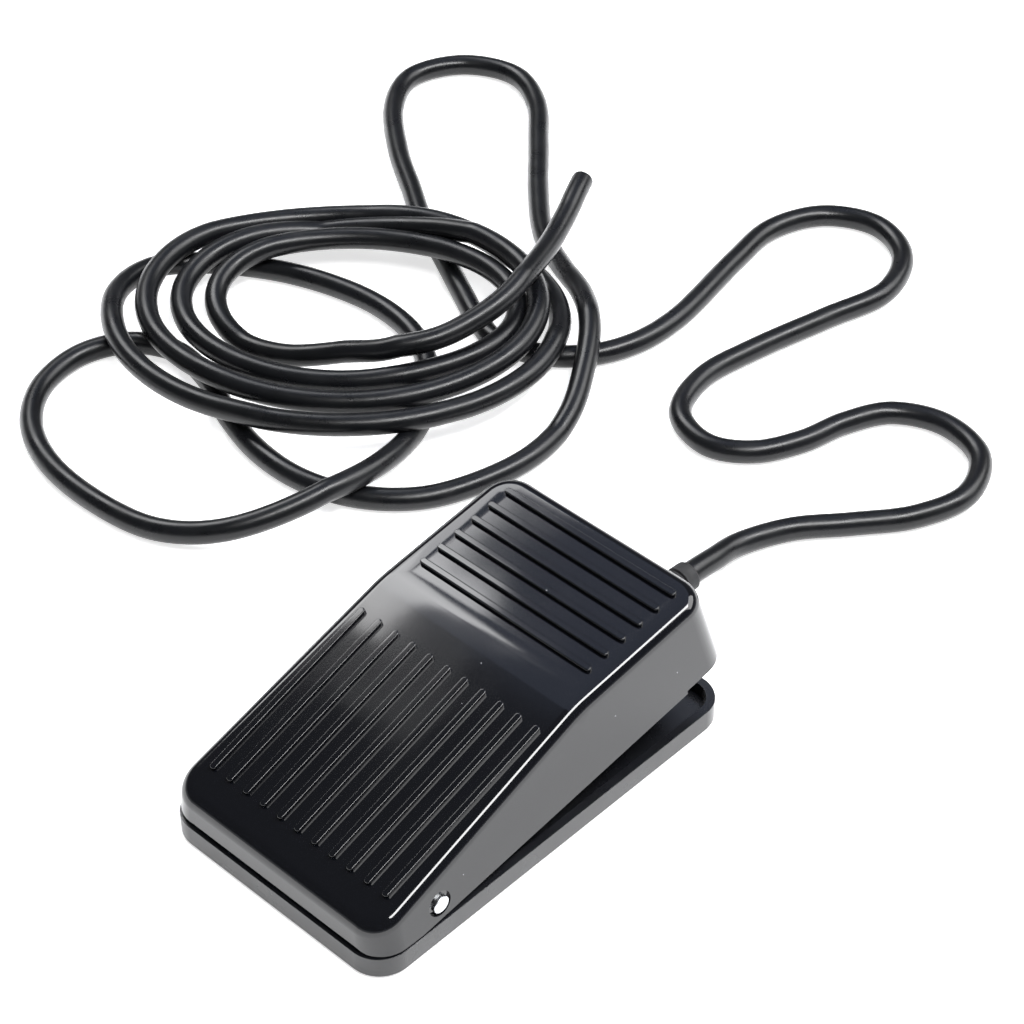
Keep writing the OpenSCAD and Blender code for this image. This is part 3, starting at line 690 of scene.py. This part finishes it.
def makeTray():  # the tray as it was designed, with its edges eased as the mould leaves them
    clearSelection()
    source = bpy.data.objects["base_tray"]
    tray = bpy.data.objects.new("baseTray", source.data.copy())
    bpy.context.collection.objects.link(tray)
    tray.data.name = "baseTray"
    pick(tray, "VERT", lambda v: True)
    bpy.ops.mesh.remove_doubles(threshold=1e-6)
    bpy.ops.mesh.dissolve_limited(angle_limit=math.radians(1.5))
    done()
    modify(tray, "BEVEL", width=0.32 * mm, segments=2, limit_method="ANGLE",
           angle_limit=math.radians(42))
    return smoothed(tray, 36)


baseTray = makeTray()
dress(baseTray, "base", "black_abs", "mouldedAbs", "base_tray")
print("tray made,", len(baseTray.data.polygons), "faces")


def makePin():
    pin = addRod("hingePin", (pinHigh.z - pinLow.z) / 2, (pinLow.x, pinAt.y, pinAt.z),
                 (pinHigh.x, pinAt.y, pinAt.z), 56)
    bevelEdges(pin, lambda a, b: abs(a.x - b.x) < 1e-6, 0.28 * mm, 3)
    for side in (-1, 1):  # a small centre mark in each end
        pick(pin, "FACE", lambda c, n: n.x * side > 0.99)
        bpy.ops.mesh.inset(thickness=1.1 * mm, depth=0)
        bpy.ops.mesh.inset(thickness=0.3 * mm, depth=-0.16 * mm)
        done()
    return smoothed(pin, 34)


hingePin = makePin()
dress(hingePin, "base", "bright_steel", "platedSteel", "hinge_pin")


feetRadius = 4.8 * mm


def makeFeet():
    low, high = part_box("rubber_feet")
    radius = feetRadius
    foot = addRod("rubberFeet", radius, (low.x + radius, low.y + radius, low.z),
                  (low.x + radius, low.y + radius, high.z), 44)
    bevelEdges(foot, lambda a, b: max(a.z, b.z) < low.z + 1e-6, 0.35 * mm, 3)
    pick(foot, "FACE", lambda c, n: n.z < -0.99)
    bpy.ops.mesh.inset(thickness=1.2 * mm, depth=0)
    bpy.ops.mesh.inset(thickness=0.4 * mm, depth=-0.3 * mm)
    done()
    across, along = high.x - low.x - 2 * radius, high.y - low.y - 2 * radius
    others = [copyOf(foot, "rubberFeet", (x, y, 0))
              for x, y in ((across, 0), (0, along), (across, along))]
    return smoothed(joinAll(foot, others), 34)


feet = makeFeet()
dress(feet, "base", "black_rubber", "mouldedRubber", "rubber_feet")

strainRelief = {
    "start": 48.55 * mm,
    "centre": 5.6 * mm,
    # distance along the lead and radius, in mm
    "inner": [(0, 5.05), (1.9, 5.05), (1.9, 3.85), (3.95, 3.85), (3.95, 5.15), (5.85, 5.15),
              (5.85, 4.4)],
    "grooves": 7,
    "grooveStart": 7.2, "groovePitch": 2.5, "grooveWide": 1.1, "grooveDeep": 0.55,
    "tip": (26.9, 3.5),
    "bore": 2.85 * mm,
    "boreBack": 52.6 * mm,
}


def makeRelief():
    sizes = strainRelief
    rows = list(sizes["inner"])
    tipAt, tipRadius = sizes["tip"]
    startAt, startRadius = rows[-1]

    def cone(at):
        return startRadius + (tipRadius - startRadius) * (at - startAt) / (tipAt - startAt)

    for i in range(sizes["grooves"]):
        at = sizes["grooveStart"] + i * sizes["groovePitch"]
        wide, deep = sizes["grooveWide"], sizes["grooveDeep"]
        rows += [(at, cone(at)), (at + 0.2, cone(at) - deep),
                 (at + wide - 0.2, cone(at + wide) - deep), (at + wide, cone(at + wide))]
    rows += [(tipAt - 0.35, cone(tipAt)), (tipAt, tipRadius - 0.3)]
    start, centre = sizes["start"], sizes["centre"]
    piece = addRod("strainRelief", rows[0][1] * mm, (0, start, centre),
                   (0, start + rows[1][0] * mm, centre), 40)
    pick(piece, "FACE", lambda c, n: n.y > 0.99)
    at, radius = rows[1]
    for nextAt, nextRadius in rows[2:]:
        bpy.ops.mesh.extrude_region_move(
            TRANSFORM_OT_translate={"value": (0, (nextAt - at) * mm, 0)})
        grow = nextRadius / radius
        bpy.ops.transform.resize(value=(grow, 1, grow),
                                 center_override=(0, start + nextAt * mm, centre))
        at, radius = nextAt, nextRadius
    grow = sizes["bore"] / (radius * mm)
    bpy.ops.mesh.extrude_region_move()
    bpy.ops.transform.resize(value=(grow, 1, grow), center_override=(0, start + at * mm, centre))
    back = sizes["boreBack"] - start - at * mm
    bpy.ops.mesh.extrude_region_move(TRANSFORM_OT_translate={"value": (0, back, 0)})
    done()
    pick(piece, "FACE", lambda c, n: True)
    bpy.ops.mesh.remove_doubles(threshold=1e-7)
    bpy.ops.mesh.normals_make_consistent(inside=False)
    done()
    return smoothed(piece, 30)


relief = makeRelief()
dress(relief, "base", "black_rubber", "mouldedRubber", "strain_relief")
print("pin, feet and strain relief made")

spring = {
    "outside": 11 * mm,
    "wire": 1.1 * mm,
    "turns": 7,
    "closed": 1.0,  # flat turns at each end
    "stepsPerTurn": 28,
    "fromHeel": 26.5 * mm,
    "squashed": 0.7,
}


def makeSpring():
    low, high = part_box("return_spring")
    middle = (low + high) / 2
    thick = spring["wire"]
    radius = (spring["outside"] - thick) / 2
    total = spring["turns"] + 2 * spring["closed"]
    bottom, top = low.z + thick / 2, high.z - thick / 2
    pitch = (top - bottom - 2 * spring["closed"] * thick) / spring["turns"]
    curve = bpy.data.curves.new("returnSpring", "CURVE")
    curve.dimensions = "3D"
    curve.bevel_depth = thick / 2
    curve.bevel_resolution = 4
    curve.use_fill_caps = True
    line = curve.splines.new("POLY")
    count = round(total * spring["stepsPerTurn"])
    line.points.add(count)
    for i, point in enumerate(line.points):
        turn = i / spring["stepsPerTurn"]
        active = min(max(turn - spring["closed"], 0), spring["turns"])
        angle = math.tau * turn
        point.co = (middle.x + radius * math.cos(angle), middle.y + radius * math.sin(angle),
                    bottom + active * pitch + (turn - active) * thick, 1)
    coil = bpy.data.objects.new("returnSpring", curve)
    bpy.context.collection.objects.link(coil)
    work(coil)
    bpy.ops.object.convert(target="MESH")
    coil = bpy.context.object
    bpy.ops.object.shade_smooth_by_angle(angle=math.radians(50))
    return coil, low


springCoil, springLow = makeSpring()
dress(springCoil, "base", "spring_steel", "drawnSteel", "return_spring")
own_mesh(springCoil)
print("spring made")

cutCore = {"radius": 0.765 * mm, "apart": 1.15 * mm, "buried": 1 * mm, "out": 1.2 * mm}


# a core's insulation ends just past the jacket, with its strands set in
def makeCutCore(name, side):
    end = cordPath[-1]
    ahead = (end - cordPath[-5]).normalized()
    across = ahead.cross(Vector((0, 0, 1))).normalized() * side * cutCore["apart"]
    core = addRod(name, cutCore["radius"], end + across - ahead * cutCore["buried"],
                  end + across + ahead * cutCore["out"], 24)
    pick(core, "FACE", lambda c, n: n.dot(ahead) > 0.9)
    bpy.ops.mesh.bevel(offset=0.12 * mm, segments=2, affect="EDGES")
    done()
    pick(core, "FACE", lambda c, n: n.dot(ahead) > 0.99)
    bpy.ops.mesh.inset(thickness=0.25 * mm, depth=0)
    bpy.ops.mesh.inset(thickness=0.05 * mm, depth=-0.25 * mm)
    done()
    return smoothed(core, 40)


cutRed = makeCutCore("cutCoreRed", 1)
dress(cutRed, "base", "red_pvc", "redPvc", "cut_core_red")
cutBlack = makeCutCore("cutCoreBlack", -1)
dress(cutBlack, "base", "core_black_pvc", "blackPvc", "cut_core_black")
print("cut cores made")

cord.data.materials.append(materials["extrudedPvc"])
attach(cord, "base")
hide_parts("cord_lead", "cord_loop", "cord_coil", "cord_tail")

studio = {
    "floorTone": "#f4f4f4",
    "fill": 0.13,  # strength of the even grey light overhead
    "horizon": 1.0,  # and of the pale walls low down all round
    "tableGlow": 0.7,  # the white table is lit from below, so shadows on it stay faint
    "coolTint": "#cbdafd",  # of the panel behind
    # centre, what it points at (straight down if none), width, depth, radiance
    "lights": {
        "softbox": ((-1.52, 0.31, 1.5), None, 1.16, 0.68, 6.4),
        "softboxSpill": ((-1.49, 0.27, 1.53), None, 1.22, 0.72, 0.5),
        "softboxCorner": ((-1.55, 0.8, 1.5), None, 1.1, 0.32, 4.5),
        "backPanel": ((-0.5, 0.8, 1.6), None, 2.4, 1.6, 0.42),
        "edgeStrip": ((0.68, 0.28, 1.5), None, 0.42, 1.7, 17.0),
        "backLight": ((0.9, 1.9, 1.7), (0, 0.2, 0), 1.9, 1.3, 4.0),
    },
}


def addSoftLight(name):
    centre, aim, wide, deep, radiance = studio["lights"][name]
    clearSelection()
    back = Vector(centre) - Vector(aim) if aim else Vector((0, 0, 1))
    turn = back.to_track_quat("Z", "Y").to_euler()
    bpy.ops.object.light_add(type="AREA", location=centre, rotation=turn)
    light = bpy.context.object
    light.name = name
    light.data.shape = "RECTANGLE"
    light.data.size, light.data.size_y = wide, deep
    light.data.energy = 4 * wide * deep * radiance


def setStudio():
    clearSelection()
    bpy.ops.mesh.primitive_plane_add(size=9, location=(0, 0, cadBox[0][2] - 0.00005))
    floor = place(named("studioFloor"))
    # opal acrylic table top: matt white, lit from below
    material, tree, shader, where = startMaterial("opalAcrylic", **{
        "IOR": 1.45, "Emission Color": fromHex("#ffffff"),
        "Emission Strength": studio["tableGlow"]})
    wire(tree, shader, blendOf(tree, patches(tree, where, 400, 2), "#efefef", studio["floorTone"]),
         between(tree, patches(tree, where, 60, 2), 0.85, 0.95),
         raisedBy(tree, patches(tree, where, 2, 2), 0.01))
    floor.data.materials.append(material)
    for name in studio["lights"]:
        addSoftLight(name)
    bpy.data.objects["backPanel"].data.color = fromHex(studio["coolTint"])[:3]
    world = bpy.data.worlds.new("studioAir")
    world.use_nodes = True
    tree = world.node_tree
    air = tree.nodes["Background"]
    air.inputs["Color"].default_value = fromHex("#e8eaee")
    compass = addNode(tree, "ShaderNodeTexCoord").outputs["Generated"]
    height = addNode(tree, "ShaderNodeSeparateXYZ", {"Vector": compass}).outputs["Z"]
    glow = between(tree, height, studio["horizon"], studio["fill"], 0.04, 0.2)
    tree.links.new(glow, air.inputs["Strength"])
    bpy.context.scene.world = world
    bpy.context.scene.view_settings.view_transform = "Standard"


setStudio()
print("studio set")
